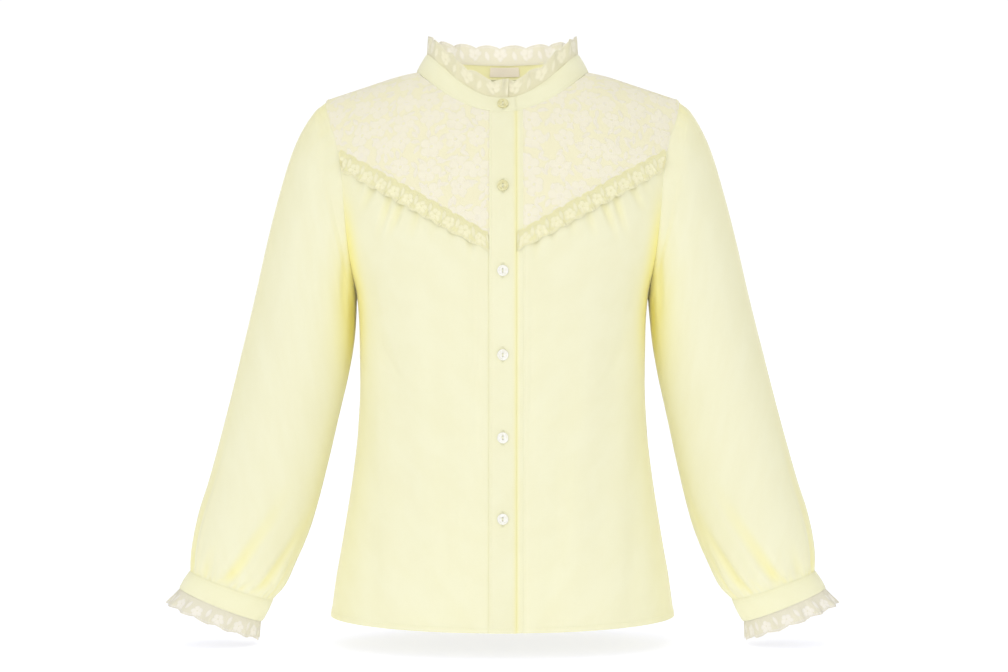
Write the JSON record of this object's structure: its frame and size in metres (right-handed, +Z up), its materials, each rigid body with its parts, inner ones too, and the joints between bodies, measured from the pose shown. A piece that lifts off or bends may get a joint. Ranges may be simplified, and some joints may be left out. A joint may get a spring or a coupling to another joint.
{
  "type": "button-up blouse",
  "caption": "Long-sleeved button-up blouse with a lace yoke, a ruffled stand collar and ruffled cuffs, hollow and filled out as worn.",
  "frame": {"origin": "middle of the neck opening, midway between the two points where the shoulder seams meet the collar", "axes": "+Z up, front of the blouse towards -Y, +X towards the wearer's left"},
  "size_m": [0.738, 0.2375, 0.6614],
  "materials": {
    "cloth": "smooth matt crepe with a soft sheen",
    "yoke_lace": "floral lace over a plain lining",
    "lace": "gathered net lace with a scalloped edge",
    "pearl": "pearly resin",
    "label": "woven satin, bare"
  },
  "bodies": {
    "root": {"front_right": "cloth", "front_left": "cloth", "back": "cloth", "yoke_right": "yoke_lace", "yoke_left": "yoke_lace", "placket": "cloth", "under_placket": "cloth", "collar_band": "cloth", "collar_ruffle": "lace", "yoke_ruffle_right": "lace", "yoke_ruffle_left": "lace", "sleeve_right": "cloth", "sleeve_left": "cloth", "cuff_right": "cloth", "cuff_left": "cloth", "cuff_ruffle_right": "lace", "cuff_ruffle_left": "lace", "button_1": "pearl", "button_2": "pearl", "button_3": "pearl", "button_4": "pearl", "button_5": "pearl", "button_6": "pearl", "neck_label": "label"}
  },
  "joints": []
}
